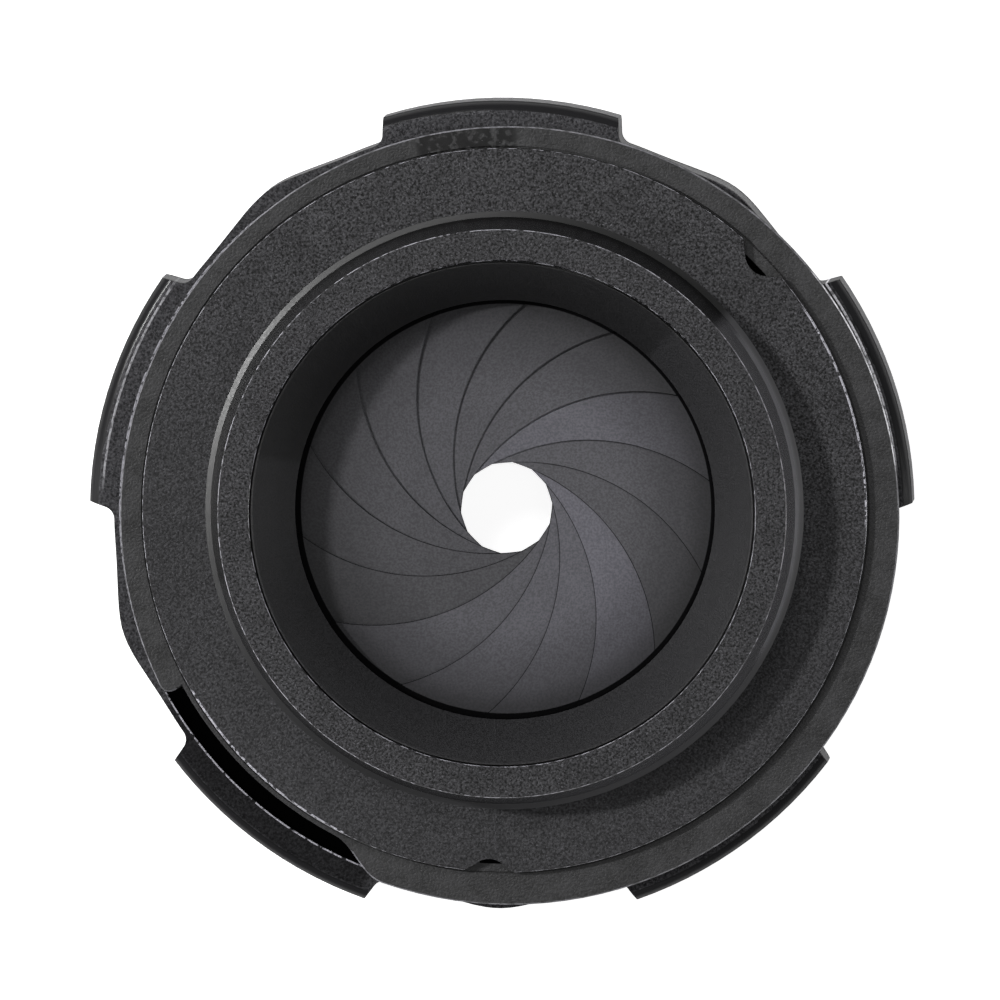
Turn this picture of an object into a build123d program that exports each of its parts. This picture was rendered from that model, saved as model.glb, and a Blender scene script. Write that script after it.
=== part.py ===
"""Ring-actuated iris diaphragm: fourteen steel blades, turned by a grip ring round the housing.

Millimetres. The light path is the Z axis, +Z is the front, where the hub stands, and z = 0 is the rear
face. Azimuths are in degrees, counter-clockwise seen from the front, from +X.
"""
from build123d import *
import math
import os

os.makedirs("parts", exist_ok=True)

# ---- Driving dimensions -----------------------------------------------------------------------
# Blades: crescents of spring steel, each climbing like a screw thread round its own arc centre
blade_count = 14
blade_inner_radius = 20.3
blade_width = 9.0
blade_thickness = 0.04
blade_arc = 150.0              # from the pivot stud to the drive stud, about the arc centre
blade_taper_arc = 9.0          # from a stud to where the blade reaches its full width
blade_end_radius = 2.3
blade_climb = 1.3              # rise in mm for each radian of arc
opening_at_rest = 9.0          # across the polygon, as it is set
smallest_opening = 5.0
first_pivot_azimuth = -130.0
blade_floor_gap = 0.26         # from the pivot ring to the lowest blade edge
blade_rotor_gap = 0.20

# Studs riveted into the blade ends
stud_radius = 0.75
rivet_radius = 0.5
rivet_head_radius = 0.85
rivet_head_height = 0.12
rivet_seat = 0.06              # room for the slope of the blade under a stud's flat faces
stud_end_gap = 0.1

# Housing
rear_bore_land = 4.2           # from the circle of pivot studs out to the rear bore
rear_bore_depth = 4.5
floor_thickness = 2.2
housing_wall = 4.97
rear_chamfer = 0.5
flange_overhang = 2.12
flange_thickness = 1.0
flange_chamfer = 0.15
flange_offset = (0.44, -0.60)  # the rim is turned about a centre a little off the axis
cutout_start = 208.8           # azimuths of the gap in the flange
cutout_curve_start = 242.4
cutout_end = 252.0
cutout_corner = 1.1
cover_groove_width = 0.2       # round the front cover's plate, in the flange's face
cover_groove_depth = 0.3

# Pivot ring, screwed to the housing floor
pivot_ring_thickness = 1.2
pivot_screw_count = 3
pivot_screw_offset = 2.1       # outside the circle of pivot studs
pivot_screw_radius = 0.8
pivot_screw_head_radius = 1.5
pivot_screw_head_height = 0.9
pivot_screw_engagement = 1.0

# Rotor, the slotted cup that drives the blades
rotor_thickness = 1.2
rotor_skirt = 1.0
rotor_bore_land = 0.12         # outside the throat's narrow end
washer_width = 2.3
washer_thickness = 0.25

# Front cover and throat ring
spigot_height = 1.2
spigot_width = 3.2
plate_thickness = 1.0
plate_chamfer = 0.1
band_width = 2.74              # the flange's smooth band round the plate
hub_height = 5.5
hub_wall = 3.16
hub_draft = 0.96               # how much wider the hub is at its foot than at its face
hub_foot_width = 0.56          # a shallow slope runs round the hub's foot down to the plate
hub_foot_height = 0.25
hub_foot_edge = 0.03
hub_edge = 0.12
throat_blade_land = 0.73       # the throat's narrow end, outside the fully open blades
throat_taper = 3.97            # from its narrow end to its mouth, on the radius
throat_lip = 0.25
throat_edge = 0.12
throat_relief_width = 0.15     # a dark gap between the throat ring's mouth and the hub
throat_relief_depth = 1.0
throat_drop = 0.1              # the throat ring's foot under the cover's inner face
throat_recess = 0.1            # its mouth below the hub's face
throat_foot_width = 1.4
throat_seat_height = 0.7
wide_notch = (44.4, 5.6, 3.2, 1.7)      # azimuth, width at the mouth, width at the tip, depth
narrow_notch = (267.6, 5.0, 2.9, 1.3)
notch_mouth_radius = 0.6

# Grip ring
lobe_count = 5
lobe_thickness = 4.27          # from the bearing bore
lobe_width = 33.2              # degrees
first_lobe_azimuth = 18.0
lobe_edge_radius = 1.3
lobe_offset = (-0.51, -0.33)   # the lobes are milled about a centre a little off the axis
valley_bump_drop = 1.5         # below the lobes
valley_dip_drop = 2.5
valley_dip_offset = 13.5       # degrees each side of the bump
valley_flank_spread = 1.2      # degrees that a lobe's flank leans out by
valley_corner_radius = 1.3
grip_rear_gap = 0.15
grip_counterbore_step = 1.12
grip_counterbore_depth = 2.1

# Drive screw and its sleeve
drive_azimuth = 234.0
drive_height = 8.6
drive_screw_radius = 1.0
drive_head_radius = 1.9
drive_head_height = 1.5
drive_head_sink = 0.45
sleeve_radius = 1.5
sleeve_end_gap = 0.05

# Circlip behind the grip ring
circlip_height = 2.55
circlip_thickness = 0.9
circlip_groove_depth = 0.9
circlip_width = 2.0
circlip_gap = 14.0             # degrees
circlip_azimuth = 90.0
circlip_lug_radius = 1.5
circlip_hole_radius = 0.6

# Screws that hold the front cover, from behind
cover_screw_azimuths = (-26.0, 32.0, 90.0, 148.0, 206.0)
cover_screw_radius = 1.0
cover_screw_head_radius = 1.75
cover_screw_head_height = 1.6
cover_screw_sink = 0.25
cover_screw_engagement = 1.6

# Clearances, all on the radius or on one side
running_fit = 0.05
stud_fit = 0.05
register_fit = 0.05
screw_clearance = 0.1
axial_play = 0.05
flange_play = 0.1
skirt_tip_gap = 0.4

# ---- Worked out -------------------------------------------------------------------------------
pitch_angle = 360 / blade_count
stud_circle = blade_inner_radius + blade_width / 2


def swing_for(opening):
    """How far, in degrees, a blade has swung in from fully open, for an opening's width."""
    offset = blade_inner_radius - opening / 2
    return 2 * math.degrees(math.asin(offset / 2 / stud_circle))


swing_at_rest = swing_for(opening_at_rest)
swing_closed = swing_for(smallest_opening)
closing_travel = 2 * (swing_closed - swing_at_rest)
opening_travel = 2 * swing_at_rest


def polar(radius, azimuth):
    """The point at a radius and an azimuth."""
    return (radius * math.cos(math.radians(azimuth)), radius * math.sin(math.radians(azimuth)))


def reach(radius, offset, azimuth):
    """How far from the axis a circle with an offset centre lies, at an azimuth."""
    x, y = polar(1, azimuth)
    along = offset[0] * x + offset[1] * y
    return along + math.sqrt(radius**2 - math.hypot(*offset) ** 2 + along**2)


def drive_stud_in_rotor(swing):
    """Radius and azimuth of a drive stud, seen from the rotor, for a pivot at azimuth 0.

    The rotor turns twice as far as the blade swings, so its slot follows the path that this gives.
    """
    span = 2 * stud_circle * math.sin(math.radians(blade_arc / 2))
    heading = math.radians(270 - blade_arc / 2 - swing)
    x = stud_circle + span * math.cos(heading)
    y = span * math.sin(heading)
    return math.hypot(x, y), math.degrees(math.atan2(y, x)) % 360 + 2 * swing


blade_outer_radius = blade_inner_radius + blade_width
blade_reach = max(blade_outer_radius, drive_stud_in_rotor(swing_closed)[0] + blade_end_radius)

# Radii, from the blades outwards
skirt_inner_radius = blade_reach + skirt_tip_gap
rotor_radius = skirt_inner_radius + rotor_skirt
cavity_radius = rotor_radius + running_fit
housing_radius = cavity_radius + housing_wall
flange_radius = housing_radius + flange_overhang
spigot_inner_radius = cavity_radius
spigot_radius = spigot_inner_radius + spigot_width
cover_screw_circle = spigot_inner_radius + spigot_width / 2
washer_outer_radius = rotor_radius - running_fit
washer_inner_radius = washer_outer_radius - washer_width
plate_radius = flange_radius - band_width
throat_exit_radius = blade_inner_radius + throat_blade_land
throat_mouth_radius = throat_exit_radius + throat_taper
throat_radius = throat_mouth_radius + throat_lip
throat_foot_radius = throat_exit_radius + throat_foot_width
hub_bore_radius = throat_radius + register_fit
hub_face_radius = hub_bore_radius + hub_wall
hub_foot_radius = hub_face_radius + hub_draft
hub_skirt_radius = hub_foot_radius + hub_foot_width
rotor_bore_radius = throat_exit_radius + rotor_bore_land
pivot_screw_circle = stud_circle + pivot_screw_offset
rear_bore_radius = stud_circle + rear_bore_land
grip_bore_radius = housing_radius + running_fit
grip_counterbore_radius = grip_bore_radius + grip_counterbore_step
lobe_radius = grip_bore_radius + lobe_thickness
valley_bump_radius = lobe_radius - valley_bump_drop
valley_dip_radius = lobe_radius - valley_dip_drop
drive_lobe_reach = reach(lobe_radius, lobe_offset, drive_azimuth)

# Heights, from the rear face to the front
floor_top = rear_bore_depth + floor_thickness
pivot_ring_top = floor_top + pivot_ring_thickness
end_arc = math.degrees(blade_end_radius / stud_circle)
blade_end_climb = blade_climb * math.radians(end_arc)
pivot_height = pivot_ring_top + blade_floor_gap + blade_end_climb
drive_stud_height = pivot_height + blade_climb * math.radians(blade_arc)
rotor_bottom = drive_stud_height + blade_end_climb + blade_rotor_gap
rotor_top = rotor_bottom + rotor_thickness
cover_inner_face = rotor_top + washer_thickness + axial_play
cover_face = cover_inner_face + plate_thickness
hub_face = cover_face + hub_height
recess_floor = cover_inner_face - spigot_height
flange_rear = cover_inner_face - flange_thickness
grip_rear = circlip_height + circlip_thickness + grip_rear_gap
grip_front = flange_rear - flange_play

# The blades' arc centre at rest, and the azimuth that a blade's pivot has about it
pivot_point = polar(stud_circle, first_pivot_azimuth)
pivot_bearing = first_pivot_azimuth - swing_at_rest
arc_centre = tuple(p - q for p, q in zip(pivot_point, polar(stud_circle, pivot_bearing)))


# ---- Helpers ----------------------------------------------------------------------------------
def turned(*corners):
    """A ring turned about Z from the (radius, height) corners of its section."""
    return revolve(Plane.XZ * make_face(Polyline(*corners, close=True)), Axis.Z)


def ring(inner_radius, outer_radius, bottom, top):
    """A plain ring."""
    return Pos(0, 0, bottom) * extrude(Circle(outer_radius) - Circle(inner_radius), top - bottom)


def pillar(radius, bottom, top, place=(0, 0)):
    """An upright cylinder."""
    return Pos(*place, bottom) * extrude(Circle(radius), top - bottom)


def spoke(radius, start, end, azimuth, height):
    """A cylinder that points away from the axis, from one radius to another."""
    return Rot(0, 0, azimuth) * Pos(start, 0, height) * Rot(0, 90, 0) * extrude(Circle(radius), end - start)


def arc(radius, start, end):
    """An arc about the axis between two azimuths."""
    return ThreePointArc(polar(radius, start), polar(radius, (start + end) / 2), polar(radius, end))


def save(shape, name):
    """Write one sub-part."""
    export_step(shape, f"parts/{name}.step")


# ---- Blades -----------------------------------------------------------------------------------
def blade_outline():
    """The crescent seen from the front: its arc centre at the origin, its pivot stud on +X."""
    wide_start = -blade_taper_arc
    wide_end = blade_taper_arc - blade_arc
    inner = arc(blade_inner_radius, wide_start, wide_end)
    outer = arc(blade_outer_radius, wide_end, wide_start)
    band = make_face([inner, Line(inner @ 1, outer @ 0), outer, Line(outer @ 1, inner @ 0)])
    for azimuth, end_line in ((0, wide_start), (-blade_arc, wide_end)):
        shoulder = Line(polar(blade_inner_radius, end_line), polar(blade_outer_radius, end_line))
        cap = Pos(*polar(stud_circle, azimuth)) * Circle(blade_end_radius)
        band += make_hull([*cap.edges(), shoulder])
    return band


def make_blade():
    """One blade in its own frame, with its pivot at height 0."""
    spare = 2 * end_arc
    climb = Helix(
        pitch=2 * math.pi * blade_climb,
        height=blade_climb * math.radians(blade_arc + 2 * spare),
        radius=stud_circle,
        lefthand=True,
    )
    section = Plane(origin=climb @ 0, x_dir=(1, 0, 0), z_dir=climb % 0)
    strip = sweep(section * Rectangle(blade_width + 1, blade_thickness), path=climb, is_frenet=True)
    strip = Pos(0, 0, -blade_climb * math.radians(spare)) * Rot(0, 0, spare) * strip
    tall = blade_climb * math.radians(blade_arc) + 2
    prism = Pos(0, 0, -1) * extrude(blade_outline(), tall)
    for azimuth in (0, -blade_arc):
        prism -= pillar(rivet_radius, -1, tall, polar(stud_circle, azimuth))
    return strip & prism


def make_studs():
    """The two studs of a blade: the pivot stud points to the rear, the drive stud to the front."""
    rear_end = floor_top + stud_end_gap - pivot_height
    shoulder = rivet_seat + blade_thickness / 2
    pivot_place = polar(stud_circle, 0)
    pivot_stud = pillar(stud_radius, rear_end, -shoulder, pivot_place)
    pivot_stud += pillar(rivet_radius, -shoulder, shoulder, pivot_place)
    pivot_stud += pillar(rivet_head_radius, shoulder, shoulder + rivet_head_height, pivot_place)
    drive_place = polar(stud_circle, -blade_arc)
    rise = drive_stud_height - pivot_height
    front_end = rotor_top - stud_end_gap - pivot_height
    drive_stud = pillar(stud_radius, rise + shoulder, front_end, drive_place)
    drive_stud += pillar(rivet_radius, rise - shoulder, rise + shoulder, drive_place)
    head_bottom = rise - shoulder - rivet_head_height
    drive_stud += pillar(rivet_head_radius, head_bottom, rise - shoulder, drive_place)
    return Compound([pivot_stud.solid(), drive_stud.solid()])


first_place = Pos(*arc_centre, pivot_height) * Rot(0, 0, pivot_bearing)
blade = first_place * make_blade()
studs = first_place * make_studs()
for number in range(blade_count):
    turn = Rot(0, 0, number * pitch_angle)
    save(turn * blade, f"blade_{number + 1:02d}")
    save(turn * studs, f"blade_studs_{number + 1:02d}")


# ---- Rotor ------------------------------------------------------------------------------------
def cam_slot():
    """The slot for one drive stud, drawn for a pivot at azimuth 0 and the rotor fully open.

    The stud first moves in towards the axis and comes back on nearly the same line, half the slot's
    spare width to each side of it, and then runs outwards along the curve.
    """
    innermost_swing = 90 - blade_arc / 2
    back_at_start = 2 * innermost_swing
    sway = max(
        radius * math.radians(abs(azimuth - 360 + blade_arc))
        for radius, azimuth in map(drive_stud_in_rotor, (innermost_swing / 3, innermost_swing / 2))
    )
    half_width = stud_radius + stud_fit + sway
    inner_end = polar(drive_stud_in_rotor(innermost_swing)[0], -blade_arc)
    middle = polar(stud_circle, -blade_arc)
    steps = 6
    path = [
        polar(*drive_stud_in_rotor(back_at_start + (swing_closed - back_at_start) * step / steps))
        for step in range(steps + 1)
    ]
    curve = Spline(*path)
    straight = Line(inner_end, middle)
    slot = trace(straight, 2 * half_width) + trace(curve, 2 * half_width)
    for place in (inner_end, middle, path[-1]):
        slot += Pos(*place) * Circle(half_width)
    return slot


def make_rotor():
    """The slotted disc with its skirt, which the drive screw is threaded into."""
    body = turned(
        (rotor_bore_radius, rotor_bottom),
        (rotor_bore_radius, rotor_top),
        (rotor_radius, rotor_top),
        (rotor_radius, floor_top + axial_play),
        (skirt_inner_radius, floor_top + axial_play),
        (skirt_inner_radius, rotor_bottom),
    )
    slot_prism = Pos(0, 0, rotor_bottom - 1) * extrude(cam_slot(), rotor_thickness + 2)
    turned_in = first_pivot_azimuth - 2 * swing_at_rest
    for number in range(blade_count):
        body -= Rot(0, 0, turned_in + number * pitch_angle) * slot_prism
    start, end = skirt_inner_radius - 1, rotor_radius + 1
    return body - spoke(drive_screw_radius, start, end, drive_azimuth, drive_height)


save(make_rotor(), "rotor")
washer_top = rotor_top + washer_thickness
save(ring(washer_inner_radius, washer_outer_radius, rotor_top, washer_top), "friction_washer")


# ---- Housing ----------------------------------------------------------------------------------
def flange_outline():
    """The flange from the front: a disc with a gap, square at one end and S-shaped at the other."""
    corner_turn = math.degrees(cutout_corner / flange_radius)
    rim_end = cutout_start - corner_turn + 360

    def on_rim(azimuth, inset=0):
        return polar(reach(flange_radius, flange_offset, azimuth) - inset, azimuth)

    rim = ThreePointArc(on_rim(cutout_end), on_rim((cutout_end + rim_end) / 2), on_rim(rim_end))
    side_end = on_rim(cutout_start, cutout_corner)
    corner_middle = on_rim(cutout_start - 0.3 * corner_turn, 0.3 * cutout_corner)
    corner = ThreePointArc(rim @ 1, corner_middle, side_end)
    side = Line(side_end, polar(housing_radius, cutout_start))
    gap = arc(housing_radius, cutout_start, cutout_curve_start)
    curve = Spline(
        [gap @ 1, rim @ 0],
        tangents=[polar(1, cutout_curve_start + 90), polar(1, cutout_end + 90)],
    )
    return make_face([rim, corner, side, gap, curve])


def lever_slot():
    """The slot in the wall that the drive screw's sleeve runs along, as long as the ring's travel."""
    half_height = sleeve_radius + screw_clearance
    start = drive_azimuth - closing_travel
    end = drive_azimuth + opening_travel
    inside, outside = cavity_radius - 1, housing_radius + 1
    section = Plane.XZ * make_face(
        Polyline(
            (inside, drive_height - half_height),
            (outside, drive_height - half_height),
            (outside, drive_height + half_height),
            (inside, drive_height + half_height),
            close=True,
        )
    )
    slot = Rot(0, 0, start) * revolve(section, Axis.Z, end - start)
    for azimuth in (start, end):
        slot += spoke(half_height, inside, outside, azimuth, drive_height)
    return slot


def cover_screw_places():
    return [polar(cover_screw_circle, azimuth) for azimuth in cover_screw_azimuths]


def pivot_screw_places():
    """Places half-way between pivot holes, as evenly round the ring as the holes allow."""
    step = round(blade_count / pivot_screw_count)
    return [
        polar(pivot_screw_circle, first_pivot_azimuth + (number * step + 0.5) * pitch_angle)
        for number in range(pivot_screw_count)
    ]


def make_housing():
    """The housing: rear bore, floor, cavity, outer wall, circlip groove and front flange."""
    groove_top = circlip_height + circlip_thickness + axial_play
    groove_bottom = circlip_height - axial_play
    groove_radius = housing_radius - circlip_groove_depth
    body = turned(
        (rear_bore_radius, 0),
        (housing_radius - rear_chamfer, 0),
        (housing_radius, rear_chamfer),
        (housing_radius, groove_bottom),
        (groove_radius, groove_bottom),
        (groove_radius, groove_top),
        (housing_radius, groove_top),
        (housing_radius, flange_rear),
        (spigot_radius + register_fit, flange_rear),
        (spigot_radius + register_fit, recess_floor),
        (cavity_radius, recess_floor),
        (cavity_radius, floor_top),
        (rotor_bore_radius, floor_top),
        (rotor_bore_radius, rear_bore_depth),
        (rear_bore_radius, rear_bore_depth),
    )
    flange = Pos(0, 0, flange_rear) * extrude(flange_outline(), flange_thickness, dir=(0, 0, 1))
    flange = chamfer(flange.faces().sort_by(Axis.Z)[-1].edges(), flange_chamfer)
    body += flange - pillar(spigot_radius + register_fit, flange_rear - 1, cover_inner_face + 1)
    groove_end = plate_radius + cover_groove_width
    body -= ring(plate_radius, groove_end, cover_inner_face - cover_groove_depth, cover_face)
    body -= lever_slot()
    for place in cover_screw_places():
        body -= pillar(cover_screw_radius + screw_clearance, -1, recess_floor + 1, place)
        head_seat = cover_screw_sink + cover_screw_head_height
        body -= pillar(cover_screw_head_radius + screw_clearance, -1, head_seat, place)
    for place in pivot_screw_places():
        body -= pillar(pivot_screw_radius + screw_clearance, 0, floor_top + 1, place)
        body -= Pos(*place, rear_bore_depth) * countersink(screw_clearance)
    return body


def countersink(spare):
    """The cone of a pivot ring screw's head, or of the hole that it sits in."""
    top = pivot_screw_radius + spare
    bottom = pivot_screw_head_radius + spare
    return turned((0, 0), (bottom, 0), (top, pivot_screw_head_height), (0, pivot_screw_head_height))


save(make_housing(), "housing")


# ---- Pivot ring -------------------------------------------------------------------------------
def make_pivot_ring():
    """The ring with a bearing hole for each blade's pivot stud, and its three tapped holes."""
    body = ring(rotor_bore_radius, skirt_inner_radius - skirt_tip_gap / 2, floor_top, pivot_ring_top)
    for number in range(blade_count):
        place = polar(stud_circle, first_pivot_azimuth + number * pitch_angle)
        body -= pillar(stud_radius + stud_fit, floor_top - 1, pivot_ring_top + 1, place)
    for place in pivot_screw_places():
        body -= pillar(pivot_screw_radius, floor_top - 1, floor_top + pivot_screw_engagement, place)
    return body


def make_pivot_screw():
    """A countersunk screw with a slot, its head towards the rear."""
    screw = countersink(0)
    screw += pillar(pivot_screw_radius, pivot_screw_head_height, floor_thickness + pivot_screw_engagement)
    slot_width = 0.3 * pivot_screw_head_radius
    slot_depth = 0.4 * pivot_screw_head_height
    return screw - Box(3 * pivot_screw_head_radius, slot_width, 2 * slot_depth)


save(make_pivot_ring(), "pivot_ring")
pivot_screw = make_pivot_screw()
pivot_screws = [Pos(*place, rear_bore_depth) * pivot_screw for place in pivot_screw_places()]
save(Compound([screw.solid() for screw in pivot_screws]), "pivot_ring_screws")


# ---- Front cover and throat ring --------------------------------------------------------------
def notch(azimuth, mouth, tip, depth):
    """A notch in the plate's edge with a round bottom and a rounded mouth, as a prism."""
    half_mouth, half_tip = mouth / 2, tip / 2
    lean = math.asin(half_mouth / plate_radius)
    shoulder = plate_radius - depth + 0.4 * half_tip

    def side(sign):
        """From the shoulder to the rim, along the rim's tangent and out."""
        corner = (plate_radius * math.cos(lean), sign * half_mouth)
        past = (corner[0] - math.sin(lean), corner[1] + sign * math.cos(lean))
        return [(shoulder, sign * half_tip), corner, past, (plate_radius + 2, past[1])]

    left, right = side(1), side(-1)
    walls = Polyline(*left, *reversed(right))
    bottom = ThreePointArc(right[0], (plate_radius - depth, 0), left[0])
    outline = make_face([walls, bottom])
    corners = [v for v in outline.vertices() if abs(math.hypot(v.X, v.Y) - plate_radius) < 0.01]
    return Rot(0, 0, azimuth) * extrude(fillet(corners, notch_mouth_radius), hub_face)


def make_front_cover():
    """The cover: an inner spigot, a thin plate and the hub, bored for the throat ring."""
    seat_height = cover_inner_face + throat_seat_height
    foot_height = cover_face + hub_foot_height
    body = turned(
        (throat_foot_radius + register_fit, cover_inner_face),
        (spigot_inner_radius, cover_inner_face),
        (spigot_inner_radius, recess_floor),
        (spigot_radius, recess_floor),
        (spigot_radius, cover_inner_face),
        (plate_radius, cover_inner_face),
        (plate_radius, cover_face - plate_chamfer),
        (plate_radius - plate_chamfer, cover_face),
        (hub_skirt_radius, cover_face),
        (hub_skirt_radius, cover_face + hub_foot_edge),
        (hub_foot_radius, foot_height),
        (hub_face_radius, hub_face - hub_edge),
        (hub_face_radius - hub_edge, hub_face),
        (hub_bore_radius + hub_edge, hub_face),
        (hub_bore_radius, hub_face - hub_edge),
        (hub_bore_radius, seat_height),
        (throat_foot_radius + register_fit, seat_height),
    )
    screw_end = recess_floor + cover_screw_engagement
    for place in cover_screw_places():
        body -= pillar(cover_screw_radius, recess_floor - 1, screw_end, place)
    for shape in (wide_notch, narrow_notch):
        body -= notch(*shape)
    return body


def make_throat_ring():
    """The smooth conical ring in the hub: it narrows from the hub's face to the blades."""
    seat_height = cover_inner_face + throat_seat_height
    mouth_height = hub_face - throat_recess
    relief_radius = throat_radius - throat_relief_width
    return turned(
        (throat_exit_radius, cover_inner_face - throat_drop),
        (throat_foot_radius, cover_inner_face - throat_drop),
        (throat_foot_radius, seat_height),
        (throat_radius, seat_height),
        (throat_radius, mouth_height - throat_relief_depth),
        (relief_radius, mouth_height - throat_relief_depth),
        (relief_radius, mouth_height),
        (throat_mouth_radius + throat_edge / 2, mouth_height),
        (throat_mouth_radius - throat_edge / 2, mouth_height - throat_edge),
    )


def make_cover_screw():
    """A socket-head screw, its head towards the rear."""
    head_top = cover_screw_sink + cover_screw_head_height
    screw = pillar(cover_screw_head_radius, cover_screw_sink, head_top)
    screw += pillar(cover_screw_radius, head_top, recess_floor + cover_screw_engagement)
    socket = extrude(RegularPolygon(0.5 * cover_screw_head_radius, 6), 0.6 * cover_screw_head_height)
    return screw - Pos(0, 0, cover_screw_sink) * socket


save(make_front_cover(), "front_cover")
save(make_throat_ring(), "throat_ring")
cover_screw = make_cover_screw()
cover_screws = [Pos(*place, 0) * cover_screw for place in cover_screw_places()]
save(Compound([screw.solid() for screw in cover_screws]), "cover_screws")


# ---- Grip ring --------------------------------------------------------------------------------
def valley():
    """The hollow between two lobes, with a low bump in its middle, cut about azimuth 0."""
    half = 180 / lobe_count - lobe_width / 2
    foot = half - valley_flank_spread
    past = lobe_radius + 3
    slope_radius = valley_dip_radius + 0.4 * (valley_bump_radius - valley_dip_radius)

    def flank(side):
        """Down a lobe's end and along the hollow's floor to the bump."""
        wall = Polyline(
            polar(past, side * half),
            polar(lobe_radius, side * half),
            polar(valley_dip_radius, side * foot),
        )
        return wall, arc(valley_dip_radius, side * foot, side * valley_dip_offset)

    (upper, upper_floor), (lower, lower_floor) = flank(1), flank(-1)
    slope_azimuth = valley_dip_offset / 2
    bump = Spline(
        [
            upper_floor @ 1,
            polar(slope_radius, slope_azimuth),
            polar(valley_bump_radius, 0),
            polar(slope_radius, -slope_azimuth),
            lower_floor @ 1,
        ],
        tangents=[polar(1, valley_dip_offset - 90), polar(1, -valley_dip_offset - 90)],
    )
    outside = arc(past, -half, half)
    outline = make_face([upper, upper_floor, bump, lower_floor, lower, outside])
    corners = [v for v in outline.vertices() if abs(math.hypot(v.X, v.Y) - valley_dip_radius) < 0.01]
    outermost = max(abs(v.Y) for v in corners)
    return fillet([v for v in corners if abs(v.Y) > outermost - 0.01], valley_corner_radius)


def make_grip_ring():
    """The ring that the user turns: five lobes with rounded rims, and a plain bearing bore."""
    shifted = Pos(*lobe_offset)
    blank = pillar(lobe_radius, grip_rear, grip_front)
    body = shifted * fillet(blank.edges().filter_by(GeomType.CIRCLE), lobe_edge_radius)
    body -= shifted * pillar(grip_counterbore_radius, grip_front - grip_counterbore_depth, grip_front + 1)
    body -= pillar(grip_bore_radius, 0, grip_front)
    cut = Pos(0, 0, grip_rear - 1) * extrude(valley(), grip_front - grip_rear + 2)
    for number in range(lobe_count):
        azimuth = first_lobe_azimuth + (number + 0.5) * 360 / lobe_count
        body -= shifted * Rot(0, 0, azimuth) * cut
    head_seat = drive_lobe_reach - drive_head_sink - drive_head_height
    shank_hole = drive_screw_radius + screw_clearance
    head_hole = drive_head_radius + screw_clearance
    body -= spoke(shank_hole, housing_radius, head_seat + 0.1, drive_azimuth, drive_height)
    body -= spoke(head_hole, head_seat, drive_lobe_reach + 1, drive_azimuth, drive_height)
    return body


def make_drive_screw():
    """The screw that ties the grip ring to the rotor's skirt, through the slot in the housing."""
    head_end = drive_lobe_reach - drive_head_sink
    head_seat = head_end - drive_head_height
    screw = spoke(drive_screw_radius, skirt_inner_radius, head_seat, 0, drive_height)
    screw += spoke(drive_head_radius, head_seat, head_end, 0, drive_height)
    depth = 0.6 * drive_head_height
    socket = extrude(RegularPolygon(0.5 * drive_head_radius, 6), depth + 1)
    screw -= Pos(head_end - depth, 0, drive_height) * Rot(0, 90, 0) * socket
    return Rot(0, 0, drive_azimuth) * screw


def make_drive_sleeve():
    """The sleeve on the drive screw, between the rotor's skirt and the grip ring."""
    start = rotor_radius + sleeve_end_gap
    end = grip_bore_radius - sleeve_end_gap
    sleeve = spoke(sleeve_radius, start, end, drive_azimuth, drive_height)
    return sleeve - spoke(drive_screw_radius, start - 1, end + 1, drive_azimuth, drive_height)


def make_circlip():
    """The open clip in the housing's groove, with a drilled lug at each end of its gap."""
    inner_radius = housing_radius - circlip_groove_depth + axial_play
    outer_radius = inner_radius + circlip_width
    half_gap = circlip_gap / 2
    middle = (inner_radius + outer_radius) / 2
    band = Circle(outer_radius) - Circle(inner_radius)
    past = 2 * outer_radius
    band -= make_face(Polyline((0, 0), polar(past, -half_gap), polar(past, half_gap), close=True))
    lug_azimuth = half_gap + math.degrees(circlip_lug_radius / middle)
    for side in (-1, 1):
        band += Pos(*polar(middle, side * lug_azimuth)) * Circle(circlip_lug_radius)
    band -= Circle(inner_radius)
    for side in (-1, 1):
        place = polar(middle + circlip_hole_radius / 2, side * lug_azimuth)
        band -= Pos(*place) * Circle(circlip_hole_radius)
    return Pos(0, 0, circlip_height) * Rot(0, 0, circlip_azimuth) * extrude(band, circlip_thickness)


save(make_grip_ring(), "grip_ring")
save(make_drive_screw(), "drive_screw")
save(make_drive_sleeve(), "drive_sleeve")
save(make_circlip(), "grip_circlip")
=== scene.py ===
"""Looks of a ring-turned iris diaphragm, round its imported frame. Metres; +Z is the front.

Azimuths are in degrees, counter-clockwise seen from the front, from +X.
"""
import math

import bpy
from mathutils import Matrix, Vector


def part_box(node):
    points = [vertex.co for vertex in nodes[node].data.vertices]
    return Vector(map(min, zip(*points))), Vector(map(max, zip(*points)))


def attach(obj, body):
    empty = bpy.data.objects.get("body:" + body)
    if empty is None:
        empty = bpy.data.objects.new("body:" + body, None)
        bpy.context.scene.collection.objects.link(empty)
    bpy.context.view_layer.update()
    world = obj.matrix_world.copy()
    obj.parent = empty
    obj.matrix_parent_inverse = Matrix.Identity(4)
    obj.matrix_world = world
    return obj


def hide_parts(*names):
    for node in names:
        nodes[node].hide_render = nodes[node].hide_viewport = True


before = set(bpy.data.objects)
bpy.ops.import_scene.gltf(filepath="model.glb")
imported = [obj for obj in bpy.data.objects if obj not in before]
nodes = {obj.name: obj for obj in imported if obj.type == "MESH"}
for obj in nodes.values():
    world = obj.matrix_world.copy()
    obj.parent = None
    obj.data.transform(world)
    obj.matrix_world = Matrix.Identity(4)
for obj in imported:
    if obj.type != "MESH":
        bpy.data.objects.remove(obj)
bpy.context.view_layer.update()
MM = 0.001


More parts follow.
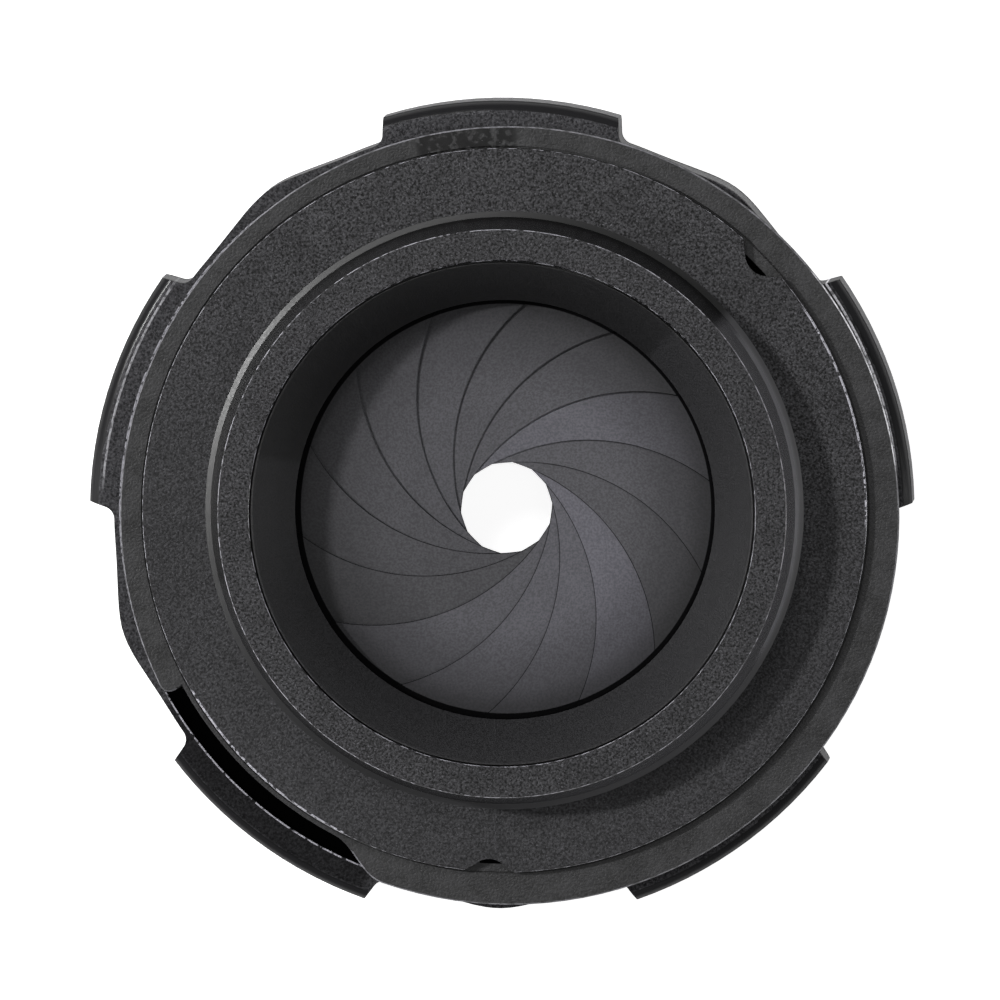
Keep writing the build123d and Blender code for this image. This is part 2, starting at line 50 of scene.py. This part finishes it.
# ---- Housing ----
# Turned from aluminium bar and black anodised: a cup with the rear bore, the outer wall that the
# grip ring runs on, and the thin front flange. Its skin is smooth and matt, with a few handling
# marks, a painted highlight on the flange's chamfer, and the faint circles left by the lathe.
class Wire:
    """One value in a finish's node tree, so that sums over a surface read as plain Python."""

    def __init__(self, finish, socket):
        self.finish, self.socket = finish, socket

    def math(self, operation, *values, clamp=False):
        settings = {"operation": operation, "use_clamp": clamp}
        return self.finish.node("ShaderNodeMath", settings, dict(enumerate(values)))

    def __add__(self, other):
        return self.math("ADD", self, other)

    def __radd__(self, other):
        return self.math("ADD", other, self)

    def __sub__(self, other):
        return self.math("SUBTRACT", self, other)

    def __rsub__(self, other):
        return self.math("SUBTRACT", other, self)

    def __mul__(self, other):
        return self.math("MULTIPLY", self, other)

    def __rmul__(self, other):
        return self.math("MULTIPLY", other, self)

    def __truediv__(self, other):
        return self.math("DIVIDE", self, other)

    def __gt__(self, other):
        return self.math("GREATER_THAN", self, other)

    def least(self, other):
        return self.math("MINIMUM", self, other)

    def most(self, other):
        return self.math("MAXIMUM", self, other)

    def root(self):
        return self.math("SQRT", self)

    def sine(self):
        return self.math("SINE", self)

    def cosine(self):
        return self.math("COSINE", self)

    def clipped(self):
        """Kept between 0 and 1."""
        return self.math("ADD", self, 0.0, clamp=True)

    def rise(self, start, end):
        """0 below start, 1 above end, smooth between them."""
        settings = {"interpolation_type": "SMOOTHSTEP"}
        sockets = {"Value": self, "From Min": start, "From Max": end}
        return self.finish.node("ShaderNodeMapRange", settings, sockets)

    def band(self, low, high, soft):
        """1 between low and high, falling to 0 over the soft width outside them."""
        return self.rise(low - soft, low) * (1 - self.rise(high, high + soft))


class Finish:
    """A material being built; node() adds any node to it and gives back one of its outputs."""

    def __init__(self, name):
        self.material = bpy.data.materials.new(name)
        self.material.use_nodes = True
        self.tree = self.material.node_tree
        self.tree.nodes.clear()

    def node(self, kind, settings=None, sockets=None, out=0):
        made = self.tree.nodes.new(kind)
        for name, value in (settings or {}).items():
            setattr(made, name, value)
        for name, value in (sockets or {}).items():
            if isinstance(value, Wire):
                self.tree.links.new(value.socket, made.inputs[name])
            else:
                made.inputs[name].default_value = value
        return Wire(self, made.outputs[out]) if len(made.outputs) else None

    def place(self):
        """The point on the piece, in metres."""
        return self.node("ShaderNodeTexCoord", out=3)

    def axes(self, vector):
        return [self.node("ShaderNodeSeparateXYZ", sockets={0: vector}, out=axis) for axis in range(3)]

    def height(self):
        return self.axes(self.place())[2]

    def radius(self, centre=(0, 0)):
        """The distance from the light path's axis, or from another upright axis."""
        x, y, _ = self.axes(self.place())
        x, y = x - centre[0], y - centre[1]
        return (x * x + y * y).root()

    def steep(self):
        """1 on walls, 0 on faces that look up or down."""
        lean = self.axes(self.node("ShaderNodeNewGeometry", out=1))[2]
        return 1 - (lean * lean).rise(0.05, 0.3)

    def facing_side(self, azimuth):
        """The cosine of the angle, seen from the front, between the point and this azimuth."""
        x, y, _ = self.axes(self.place())
        angle = math.radians(azimuth)
        return (x * math.cos(angle) + y * math.sin(angle)) / (self.radius() + 0.001 * MM)

    def noise(self, size, detail=2.0, roughness=0.5, vector=None):
        """Soft noise from 0 to 1 whose blobs are about as wide as size."""
        return self.node("ShaderNodeTexNoise", sockets={
            "Vector": vector or self.place(), "Scale": 1 / size, "Detail": detail, "Roughness": roughness})

    def mix(self, factor, first, second):
        sockets = {0: factor, 6: first, 7: second}
        return self.node("ShaderNodeMix", {"data_type": "RGBA"}, sockets, out=2)

    def bump(self, height, depth):
        return self.node("ShaderNodeBump", sockets={"Strength": 1.0, "Distance": depth, "Height": height})

    def surface(self, **sockets):
        shader = self.node("ShaderNodeBsdfPrincipled", sockets=sockets)
        self.node("ShaderNodeOutputMaterial", sockets={0: shader})
        return self.material


def grey(value, blue=0.07):
    """A near-neutral colour with a touch of blue, as black anodising has."""
    return (value * (1 + blue / 8), value, value * (1 + blue), 1)


def wear(piece, material):
    """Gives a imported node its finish, and leaves its mesh alone."""
    piece.data.materials.clear()
    piece.data.materials.append(material)


FLANGE_THICKNESS = 1.0 * MM
FLANGE_CHAMFER = 0.15 * MM
FLANGE_BORE_RADIUS = 35.18 * MM
FLANGE_EDGE_INSIDE = 37.5 * MM
ROUGH_PATCH_AZIMUTH = 96
HIGHLIGHT_AZIMUTH = 22
NARROW_NOTCH_AZIMUTH = 268
SOFT = 0.02 * MM


def housing_finish():
    """Matt black with soft clouds, fine grain, and one rougher darker patch on the flange's rim."""
    skin = Finish("housing_anodised")
    height, radius = skin.height(), skin.radius()
    cloud = skin.noise(2.6 * MM, detail=5, roughness=0.7).rise(0.3, 0.7)
    grain = skin.noise(0.22 * MM).rise(0.3, 0.7)
    colour = skin.mix(cloud * 0.5 + grain * 0.5, grey(0), grey(0.022))
    blotch = skin.facing_side(ROUGH_PATCH_AZIMUTH).rise(0.988, 0.993)
    blotch = blotch * skin.noise(0.7 * MM, detail=3).rise(0.36, 0.5)
    colour = skin.mix(blotch * 0.9, colour, grey(0.001))
    speck = skin.noise(0.3 * MM, detail=1).rise(0.77, 0.8)
    colour = skin.mix(speck * 0.5, colour, grey(0.12))
    # painted shade: black in the gap on the outer wall under the flange, where the grip ring runs, and in
    # the corners that the cover's notches show
    flange_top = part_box("housing")[1].z
    flange_low = flange_top - FLANGE_THICKNESS
    gap_shade = height.band(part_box("grip_ring")[0].z, flange_low - SOFT, SOFT)
    wider = (skin.facing_side(NARROW_NOTCH_AZIMUTH) > 0.9993) * (0.3 * MM)
    notch_shade = 1 - (radius - wider).rise(FLANGE_BORE_RADIUS - SOFT, FLANGE_BORE_RADIUS + 3 * SOFT)
    notch_shade = notch_shade * (height > flange_low + FLANGE_THICKNESS / 2)
    black = (gap_shade + notch_shade).clipped()
    colour = skin.mix(black, colour, grey(0.001))
    # painted highlight: the flange's outer chamfer is lighter, and near white over part of its round
    highlight_breaks = skin.noise(0.8 * MM, detail=3).rise(0.35, 0.6)
    edge_highlight = height.band(flange_top - FLANGE_CHAMFER + SOFT / 2, flange_top - 1.5 * SOFT, SOFT / 2)
    edge_highlight = edge_highlight * (0.3 + highlight_breaks * 0.7) * (radius > FLANGE_EDGE_INSIDE)
    highlight_side = skin.facing_side(HIGHLIGHT_AZIMUTH).rise(0.955, 0.975)
    colour = skin.mix(edge_highlight, colour, skin.mix(highlight_side, grey(0.16, 0.1), grey(0.75, 0.05)))
    rough = 0.42 + cloud * 0.12 + skin.steep() * 0.45 + blotch * 0.4
    return skin.surface(**{"Base Color": colour, "Metallic": black, "Roughness": rough,
                           "Normal": skin.bump(grain + cloud * 0.5, 0.016 * MM)})


wear(nodes["housing"], housing_finish())


# ---- Pivot ring ----
# A flat brass bearing ring with a hole for each blade's pivot stud, screwed to the housing's floor
# with three countersunk black screws.
def turned_metal(name, colour, metallic, gloss, mark):
    """Bare or darkened metal with the fine circles of the lathe about the light path."""
    skin = Finish(name)
    turned = skin.node("ShaderNodeCombineXYZ", sockets={0: skin.radius(), 1: 0.0, 2: skin.height()})
    circles = skin.noise(0.12 * MM, detail=3, vector=turned)
    cloud = skin.noise(3 * MM, detail=3)
    shade = (circles * 0.5 + cloud * 0.5).clipped()
    marked = tuple(mark * part for part in colour[:3]) + (1,)
    return skin.surface(**{"Base Color": skin.mix(shade, colour, marked), "Metallic": metallic,
                           "Roughness": gloss + shade * 0.12, "Normal": skin.bump(circles, 0.003 * MM)})


DULL_BRASS = (0.40, 0.29, 0.12, 1)
wear(nodes["pivot_ring"], turned_metal("dull_brass", DULL_BRASS, metallic=1.0, gloss=0.32, mark=0.7))
black_oxide = turned_metal("black_oxide", grey(0.035), metallic=0.6, gloss=0.38, mark=0.7)
wear(nodes["pivot_ring_screws"], black_oxide)


# ---- Blades ----
# Fourteen crescents punched from thin spring steel and blackened to a satin grey. Each one climbs
# round its own arc centre, so that it lies over its neighbour like the petals of a closed flower.
BLADE_COUNT = 14
BLADE_INNER_RADIUS = 20.3 * MM
BLADE_WIDTH = 9.0 * MM
BLADE_THICKNESS = 0.04 * MM
BLADE_ARC = math.radians(150)
BLADE_TAPER_ARC = math.radians(9)
BLADE_END_RADIUS = 2.3 * MM
BLADE_CLIMB = 1.3 * MM
STUD_CIRCLE = BLADE_INNER_RADIUS + BLADE_WIDTH / 2


class Tree:
    """A geometry node tree being built, with the same kind of node() as a finish has."""

    def __init__(self, name, **inputs):
        self.tree = bpy.data.node_groups.new(name, "GeometryNodeTree")
        self.inputs = {}
        for title, (kind, value) in inputs.items():
            socket = self.tree.interface.new_socket(title, in_out="INPUT", socket_type="NodeSocket" + kind)
            if value is not None:
                socket.default_value = value
            self.inputs[title] = socket.identifier
        self.tree.interface.new_socket("Geometry", in_out="OUTPUT", socket_type="NodeSocketGeometry")
        self.entry = self.tree.nodes.new("NodeGroupInput")
        self.leave = self.tree.nodes.new("NodeGroupOutput")

    def given(self, title):
        return Wire(self, self.entry.outputs[title])

    node = Finish.node

    def finish(self, geometry):
        self.tree.links.new(geometry.socket, self.leave.inputs[0])


def grown(name, tree, values):
    """The plain mesh that a geometry node tree makes for these values of its named inputs."""
    holder = bpy.data.objects.new(name + "_tree", bpy.data.meshes.new(name + "_tree"))
    bpy.context.scene.collection.objects.link(holder)
    modifier = holder.modifiers.new("tree", "NODES")
    modifier.node_group = tree.tree
    for title, value in values.items():
        modifier[tree.inputs[title]] = value
    evaluated = holder.evaluated_get(bpy.context.evaluated_depsgraph_get())
    mesh = bpy.data.meshes.new_from_object(evaluated)
    holder.modifiers.remove(modifier)
    bpy.data.objects.remove(holder)
    mesh.name = name
    piece = bpy.data.objects.new(name, mesh)
    bpy.context.scene.collection.objects.link(piece)
    return piece


def blade_tree():
    """A crescent from a grid: one way along its arc, the other across its width."""
    tree = Tree(
        "blade",
        inner_radius=("Float", BLADE_INNER_RADIUS), width=("Float", BLADE_WIDTH),
        thickness=("Float", BLADE_THICKNESS), arc=("Float", BLADE_ARC),
        taper_arc=("Float", BLADE_TAPER_ARC), end_radius=("Float", BLADE_END_RADIUS),
        climb=("Float", BLADE_CLIMB), steps=("Int", 150), rows=("Int", 9), finish=("Material", None),
    )
    arc, taper, end = tree.given("arc"), tree.given("taper_arc"), tree.given("end_radius")
    half_width = tree.given("width") / 2
    middle = tree.given("inner_radius") + half_width
    cap = end / middle
    grid = tree.node("GeometryNodeMeshGrid", sockets={
        "Size X": 1.0, "Size Y": 1.0, "Vertices X": tree.given("steps"), "Vertices Y": tree.given("rows")})
    place = tree.node("GeometryNodeInputPosition")
    along = tree.node("ShaderNodeSeparateXYZ", sockets={0: place}, out=0) + 0.5
    across = tree.node("ShaderNodeSeparateXYZ", sockets={0: place}, out=1) * 2
    # the steps crowd towards the two round ends
    eased = along - (along * math.tau).sine() * 0.08
    angle = eased * (arc + cap * 2) - cap
    shoulder = (angle.least(arc - angle) / taper).most(0.0).least(1.0)
    widened = end + (half_width - end) * shoulder
    past = (0.0 - angle).most(angle - arc).most(0.0)
    reach = past * middle
    rounded = (end * end - reach * reach).most(0.0).root()
    half = tree.node("GeometryNodeSwitch", {"input_type": "FLOAT"}, {0: past > 0.0, 1: widened, 2: rounded})
    radius = middle + across * half
    for title, value in (("along", angle), ("across", across * half)):
        grid = tree.node("GeometryNodeStoreNamedAttribute", {"data_type": "FLOAT", "domain": "POINT"},
                         {"Geometry": grid, "Name": title, "Value": value})
    laid = tree.node("ShaderNodeCombineXYZ", sockets={
        0: radius * angle.cosine(), 1: radius * (0.0 - angle).sine(), 2: angle * tree.given("climb")})
    sheet = tree.node("GeometryNodeSetPosition", sockets={"Geometry": grid, "Position": laid})
    front = tree.node("GeometryNodeExtrudeMesh", {"mode": "FACES"}, {
        "Mesh": sheet, "Offset Scale": tree.given("thickness"), "Individual": False})
    back = tree.node("GeometryNodeFlipFaces", sockets={"Mesh": sheet})
    joined = tree.node("GeometryNodeJoinGeometry")
    for side in (front, back):
        tree.tree.links.new(side.socket, joined.socket.node.inputs[0])
    merged = tree.node("GeometryNodeMergeByDistance", sockets={"Geometry": joined, "Distance": 0.0005 * MM})
    real = tree.node("GeometryNodeRealizeInstances", sockets={"Geometry": merged})
    tree.finish(tree.node("GeometryNodeSetMaterial", sockets={
        "Geometry": real, "Material": tree.given("finish")}))
    return tree


def blackened_spring_steel(sheen):
    """Satin black with a soft grain and fine strokes, a painted sheen set per blade, and painted shade
    towards the rim.
    """
    skin = Finish("blackened_spring_steel")
    along = skin.node("ShaderNodeAttribute", {"attribute_name": "along"}, out=2)
    across = skin.node("ShaderNodeAttribute", {"attribute_name": "across"}, out=2)
    brushed = skin.node("ShaderNodeCombineXYZ", sockets={0: along * (4 * MM), 1: across, 2: 0.0})
    strokes = skin.noise(0.12 * MM, vector=brushed)
    grain = skin.noise(0.22 * MM)
    cloud = skin.noise(2.5 * MM)
    shade = (strokes * 0.25 + grain * 0.65 + cloud * 0.1).rise(0.36, 0.64)
    tint = 0.06 + 0.1 * sheen
    steel = skin.mix(shade, grey(0.033 + 0.042 * sheen, tint), grey(0.052 + 0.060 * sheen, tint))
    radius = skin.radius()
    # painted shade: darker towards the rim under the throat ring, a little less where the lamps' own shadow
    # falls
    rim_shade = radius.rise(11 * MM, 18.5 * MM) * 0.5 + radius.rise(17.5 * MM, 20.4 * MM) * 0.3
    rim_shade = rim_shade * (1 - skin.facing_side(150).rise(0.2, 1.0) * 0.3)
    colour = skin.mix(1 - rim_shade, grey(0.004), steel)
    # black along the cut inner edge, partly the edge itself and partly painted shade between the blades,
    # weaker where the blades' own shadows fall; and a painted shade ring, black, close under the throat ring
    edge = BLADE_WIDTH / -2
    cut = 1 - across.rise(edge + 0.04 * MM, edge + 0.10 * MM)
    cut = cut * (0.85 - skin.facing_side(108).rise(0.3, 0.9) * 0.65)
    black = (cut + radius.rise(20.5 * MM, 20.6 * MM)).clipped()
    return skin.surface(**{"Base Color": skin.mix(black, colour, grey(0.003)), "Metallic": black,
                           "Roughness": 0.42 + grain * 0.1, "Specular IOR Level": 0.2,
                           "Normal": skin.bump(shade, 0.006 * MM)})


# painted sheen: how much light each blade reflects, from 0 to 1
BLADE_SHEENS = (0.82, 0.42, 0.38, 0.42, 0.36, 0.3, 0.24, 0.18, 0.55, 0.66, 0.74, 1.0, 0.36, 0.45)
BLADE_FLOOR_GAP = 0.26 * MM
OPENING_AT_REST = 9.0 * MM
FIRST_PIVOT = math.radians(-130)
blade_shape = blade_tree()
blade_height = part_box("pivot_ring")[1].z + BLADE_FLOOR_GAP + BLADE_CLIMB * BLADE_END_RADIUS / STUD_CIRCLE
swing = 2 * math.asin((BLADE_INNER_RADIUS - OPENING_AT_REST / 2) / 2 / STUD_CIRCLE)
for number in range(BLADE_COUNT):
    pivot = FIRST_PIVOT + number * math.tau / BLADE_COUNT
    bearing = pivot - swing
    centre = STUD_CIRCLE * Vector((math.cos(pivot) - math.cos(bearing),
                                   math.sin(pivot) - math.sin(bearing), 0))
    centre.z = blade_height - BLADE_THICKNESS / 2
    finish = blackened_spring_steel(BLADE_SHEENS[number])
    crescent = grown(f"crescent_{number + 1:02d}", blade_shape, {"finish": finish})
    crescent.data.transform(Matrix.Translation(centre) @ Matrix.Rotation(bearing, 4, "Z"))
    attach(crescent, f"leaf_{number + 1:02d}")
    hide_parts(f"blade_{number + 1:02d}")


# ---- Blade studs ----
# Two turned steel studs riveted into each blade: the rear one turns in the pivot ring, and the
# front one runs in the rotor's slot.
stud_steel = turned_metal("stud_steel", grey(0.32), metallic=1.0, gloss=0.3, mark=0.8)
for number in range(BLADE_COUNT):
    wear(nodes[f"blade_studs_{number + 1:02d}"], stud_steel)


# ---- Rotor ----
# The slotted cup that drives the blades, turned and milled from aluminium and black anodised. It
# runs in the housing and is turned through a screw in its skirt.
black_turned = turned_metal("anodised_turned", grey(0.02), metallic=0.0, gloss=0.4, mark=0.7)
wear(nodes["rotor"], black_turned)


# ---- Friction washer ----
# A thin ring of natural nylon between the rotor and the cover, which gives the ring its light drag
# and holds the setting.
def natural_nylon():
    skin = Finish("natural_nylon")
    cloud = skin.noise(1.5 * MM, detail=3)
    colour = skin.mix(cloud, (0.70, 0.68, 0.62, 1), (0.78, 0.77, 0.72, 1))
    return skin.surface(**{"Base Color": colour, "Roughness": 0.45 + cloud * 0.1})


wear(nodes["friction_washer"], natural_nylon())


# ---- Front cover ----
# One turned piece of aluminium: a thin plate that sits on the flange and the stepped hub. Its flat
# faces carry a fine sparkling crust, and the hub's wall and the chamfers stay smooth.
def sparkling_crust(skin, mask, smooth_colour):
    """Sockets of a grainy anodised crust where the mask is 1, and of a smooth skin elsewhere."""
    heap = skin.noise(0.26 * MM, roughness=0.7) * 0.9 + skin.noise(0.6 * MM, detail=1) * 0.1
    crust = skin.mix(heap.rise(0.33, 0.67), grey(0), grey(0.060))
    patch = skin.noise(4 * MM).rise(0.35, 0.7)
    crust = skin.mix(patch * 0.25, crust, grey(0.004))
    glint = skin.noise(0.17 * MM, detail=0).rise(0.68, 0.78)
    crust = skin.mix(glint * 0.3, crust, grey(0.18, 0.1))
    return {"Base Color": skin.mix(mask, smooth_colour, crust), "Metallic": mask * 0.6,
            "Roughness": 0.24 + mask * 0.32, "Normal": skin.bump(heap * mask, 0.07 * MM)}


PLATE_THICKNESS = 1.0 * MM
PLATE_RADIUS = 36.28 * MM
PLATE_CHAMFER = 0.1 * MM
HUB_CHAMFER = 0.12 * MM
HUB_FOOT_HEIGHT = 0.25 * MM
FLANGE_GAP_AZIMUTH = 227


def cover_finish():
    """The crust on the flat faces, smooth walls with painted highlights on their edges, and a painted
    highlight on the free rim.
    """
    skin = Finish("textured_cover")
    plate_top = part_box("housing")[1].z + PLATE_THICKNESS
    hub_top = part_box("front_cover")[1].z
    z = skin.height()
    on_plate = z.band(plate_top - 1.5 * SOFT, plate_top + SOFT, SOFT)
    on_hub = z > hub_top - 1.5 * SOFT
    mask = (on_plate + on_hub).clipped()
    # painted light and shade: the hub's wall is lighter on one side and darker on another, with a painted
    # highlight low down on the right
    lit_side = skin.facing_side(298).rise(-0.26, -0.2)
    in_shade = skin.facing_side(215).rise(0.1, 0.9)
    smooth = skin.mix(lit_side, grey(0.003), skin.mix(in_shade, grey(0.058), grey(0.014)))
    low_wall = z.band(plate_top + 0.4 * MM, plate_top + 1.4 * MM, 0.3 * MM)
    smooth = skin.mix(low_wall * skin.facing_side(4).rise(0.8, 0.88) * 0.8, smooth, grey(0.2))
    # painted highlights: broken light lines along the plate's and the hub's edges
    highlight_breaks = skin.noise(0.7 * MM, detail=3).rise(0.4, 0.6)
    plate_edge = z.band(plate_top - PLATE_CHAMFER + SOFT / 2, plate_top - 1.5 * SOFT, SOFT / 2)
    hub_edge = z.band(hub_top - HUB_CHAMFER + SOFT, hub_top - 2 * SOFT, SOFT / 2)
    smooth = skin.mix((plate_edge + hub_edge) * highlight_breaks, smooth, grey(0.30, 0.1))
    # painted shade: what shows of the cover's inside, through the notches, is black
    plate_low = plate_top - PLATE_THICKNESS
    inside = 1 - z.rise(plate_low + SOFT, plate_low + 3 * SOFT)
    smooth = skin.mix(inside, smooth, grey(0.001))
    sockets = sparkling_crust(skin, mask, smooth)
    # the plate's crust is more even on its lower half
    even = on_plate * (1 - skin.facing_side(70).rise(-0.3, 0.7)) * 0.35
    colour = skin.mix(even, sockets["Base Color"], grey(0.027))
    # painted highlight: a broken light line along the plate's rim where it stands free over the gap, and
    # over parts of its round
    rim = skin.radius().rise(PLATE_RADIUS - 0.24 * MM, PLATE_RADIUS - 0.16 * MM) * (z > plate_top - 0.2 * MM)
    free = skin.facing_side(FLANGE_GAP_AZIMUTH).rise(0.955, 0.96) + skin.facing_side(16).rise(0.945, 0.96)
    dash = skin.noise(0.45 * MM).rise(0.42, 0.5)
    sockets["Base Color"] = skin.mix(rim * free.clipped() * dash, colour, grey(0.42, 0.1))
    sockets["Metallic"] = (sockets["Metallic"] + inside).clipped()
    foot = z.band(plate_top + SOFT, plate_top + HUB_FOOT_HEIGHT + SOFT / 2, SOFT) * (1 - mask)
    sockets["Roughness"] = sockets["Roughness"] + foot * (0.08 + skin.noise(0.3 * MM, detail=3) * 0.2)
    return skin.surface(**sockets)


wear(nodes["front_cover"], cover_finish())


# ---- Throat ring ----
# The smooth conical ring pressed into the hub, black anodised and matt, so that the light path has
# no bright walls.
def throat_finish():
    """Matt black with a fine grain, and painted shade over one sector."""
    skin = Finish("throat_anodised")
    grain = skin.noise(0.15 * MM).rise(0.3, 0.7)
    dark = skin.mix(grain, grey(0), grey(0.012))
    light = skin.mix(grain, grey(0.005), grey(0.026))
    # painted light and shade: one sector is darker, the rest lighter
    lit_side = skin.facing_side(287).rise(-0.52, -0.48)
    return skin.surface(**{"Base Color": skin.mix(lit_side, dark, light), "Roughness": 0.45 + grain * 0.1,
                           "Normal": skin.bump(grain, 0.01 * MM)})


wear(nodes["throat_ring"], throat_finish())


# ---- Cover screws ----
# Five small socket-head screws of steel with black oxide, put in from behind through the housing's
# floor and wall, which pull the cover onto the flange.
black_socket = turned_metal("black_oxide_socket", grey(0.03), metallic=0.5, gloss=0.35, mark=0.7)
wear(nodes["cover_screws"], black_socket)


# ---- Grip ring ----
# The ring that the user turns, milled from aluminium: five lobes with rounded rims, and the same
# sparkling crust as the cover on its faces.
LOBE_CENTRE = (-0.51 * MM, -0.33 * MM)
LOBE_EDGE_RADIUS = 1.3 * MM
COUNTERBORE_RADIUS = 38.07 * MM


def grip_finish():
    """The crust on the lobes' faces and walls, smooth roundings and a painted highlight beside them."""
    skin = Finish("textured_grip")
    grip_low, grip_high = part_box("grip_ring")
    z = skin.height()
    radius = skin.radius(LOBE_CENTRE)
    face = z > grip_high.z - 3 * SOFT
    walls = z.band(grip_low.z + 1.2 * MM, grip_high.z - 1.2 * MM, 0.1 * MM)
    walls = walls * (radius > COUNTERBORE_RADIUS + 5 * SOFT)
    mask = (face + walls).clipped()
    sockets = sparkling_crust(skin, mask, grey(0.012))
    colour = skin.mix(mask * 0.12, sockets["Base Color"], grey(0.12))
    # painted shade: the lobe that shows in the flange's gap has a blacker face
    in_shade = skin.facing_side(230).rise(0.93, 0.95) * (1 - radius.rise(40.0 * MM, 40.6 * MM))
    colour = skin.mix(in_shade * 0.75, colour, grey(0.002))
    # painted highlight: a broken light line on the counterbore's lip
    dash = skin.noise(0.5 * MM).rise(0.38, 0.5)
    lip = radius.band(COUNTERBORE_RADIUS, COUNTERBORE_RADIUS + 0.14 * MM, SOFT)
    colour = skin.mix(lip * dash * (z > grip_high.z - 0.2 * MM), colour, grey(0.3, 0.1))
    # painted highlight: a light line where the rounding starts, on two of the lobes
    round_start = grip_high.y - LOBE_CENTRE[1] - LOBE_EDGE_RADIUS
    line = radius.band(round_start - 0.1 * MM, round_start + 0.08 * MM, 2 * SOFT) * (0.3 + dash * 0.7)
    lit_lobes = skin.facing_side(22).rise(0.955, 0.975) + skin.facing_side(161).rise(0.955, 0.975) * 0.3
    colour = skin.mix((line * lit_lobes).clipped(), colour, grey(0.75, 0.05))
    # painted shade: black in the counterbore, which turns under the flange
    gap_shade = 1 - radius.rise(COUNTERBORE_RADIUS + SOFT, COUNTERBORE_RADIUS + 3 * SOFT)
    sockets["Base Color"] = skin.mix(gap_shade * (1 - lip), colour, grey(0.001))
    sockets["Metallic"] = (sockets["Metallic"] + gap_shade).clipped()
    sockets["Roughness"] = sockets["Roughness"] + skin.steep() * (1 - mask) * 0.6
    sockets["Specular IOR Level"] = 0.1
    return skin.surface(**sockets)


wear(nodes["grip_ring"], grip_finish())


# ---- Drive screw and sleeve ----
# A black screw goes through the grip ring into the rotor's skirt, and a ground steel sleeve on it
# runs along the slot in the housing's wall.
black_drive = turned_metal("black_oxide_drive", grey(0.03), metallic=0.5, gloss=0.35, mark=0.7)
wear(nodes["drive_screw"], black_drive)
ground_steel = turned_metal("ground_steel", grey(0.42), metallic=1.0, gloss=0.22, mark=0.85)
wear(nodes["drive_sleeve"], ground_steel)


# ---- Circlip ----
# Stamped from spring steel and phosphated dark grey. It snaps into the housing's groove behind the
# grip ring and keeps the ring on.
phosphated = turned_metal("phosphated_steel", grey(0.10), metallic=0.7, gloss=0.45, mark=0.7)
wear(nodes["grip_circlip"], phosphated)


# ---- Stage ----
# A wide white floor, a pale room, three soft lamps from the left, one overhead and a low strip on
# each side. The camera looks almost straight down the light path from far away.
FLOOR_HALF_WIDTH = 3.0


def floor():
    """A wide white floor that the housing's rear face stands on."""
    skin = Finish("white_floor")
    skin.surface(**{"Base Color": grey(0.6, 0), "Roughness": 0.9, "Specular IOR Level": 0.1,
                    "Emission Color": grey(1.0, 0), "Emission Strength": 0.88})
    half = FLOOR_HALF_WIDTH
    corners = [(-half, -half, 0), (half, -half, 0), (half, half, 0), (-half, half, 0)]
    mesh = bpy.data.meshes.new("floor")
    mesh.from_pydata(corners, [], [(0, 1, 2, 3)])
    mesh.materials.append(skin.material)
    ground = bpy.data.objects.new("floor", mesh)
    bpy.context.scene.collection.objects.link(ground)


def facing(towards):
    """The turn that points an object's +Z this way, with its +Y as near the row's +Y as can be."""
    right = Vector((0, 1, 0)).cross(towards).normalized()
    return Matrix((right, towards.cross(right), towards)).transposed().to_quaternion()


LAMPS_AIM = Vector((0, 0, 12 * MM))


def lamp(name, azimuth, elevation, distance, size, radiance):
    """A softbox that faces the object, with its width and height; its radiance is what the object sees."""
    side, lift = math.radians(azimuth), math.radians(elevation)
    heading = Vector((math.cos(side) * math.cos(lift), math.sin(side) * math.cos(lift), math.sin(lift)))
    data = bpy.data.lights.new(name, "AREA")
    data.shape = "RECTANGLE"
    data.size, data.size_y = size
    data.energy = radiance * math.pi * size[0] * size[1]
    light = bpy.data.objects.new(name, data)
    light.location = LAMPS_AIM + heading * distance
    light.rotation_mode = "QUATERNION"
    light.rotation_quaternion = facing(heading)
    bpy.context.scene.collection.objects.link(light)


floor()
lamp("left_box", 157, 47, 0.9, (0.06, 0.06), 560.0)
lamp("side_box", 186, 47, 0.9, (0.16, 0.05), 24.0)
lamp("upper_box", 112, 56, 0.9, (0.16, 0.16), 18.0)
lamp("top_box", 26, 83.5, 3.5, (0.8, 0.8), 2.6)
lamp("left_strip", 180, 24, 0.8, (0.6, 0.1), 5.0)
lamp("right_strip", -5, 24, 0.8, (0.6, 0.1), 8.0)

world = bpy.data.worlds.new("room")
bpy.context.scene.world = world
world.use_nodes = True
background = world.node_tree.nodes["Background"].inputs
background["Color"].default_value = grey(1.0, 0)
background["Strength"].default_value = 0.26

TOWARDS_CAMERA = Vector((0.048, 0.062, 1)).normalized()
CAMERA_AIM = Vector((-0.44 * MM, 1.05 * MM, 14.5 * MM))
CAMERA_DISTANCE = 3.0
camera_data = bpy.data.cameras.new("camera")
camera_data.lens, camera_data.sensor_width = 1080, 36
camera_data.clip_start, camera_data.clip_end = 0.1, 10
camera = bpy.data.objects.new("camera", camera_data)
camera.location = CAMERA_AIM + TOWARDS_CAMERA * CAMERA_DISTANCE
camera.rotation_mode = "QUATERNION"
camera.rotation_quaternion = facing(TOWARDS_CAMERA)
bpy.context.scene.collection.objects.link(camera)
bpy.context.scene.camera = camera
bpy.context.scene.view_settings.view_transform = "Standard"
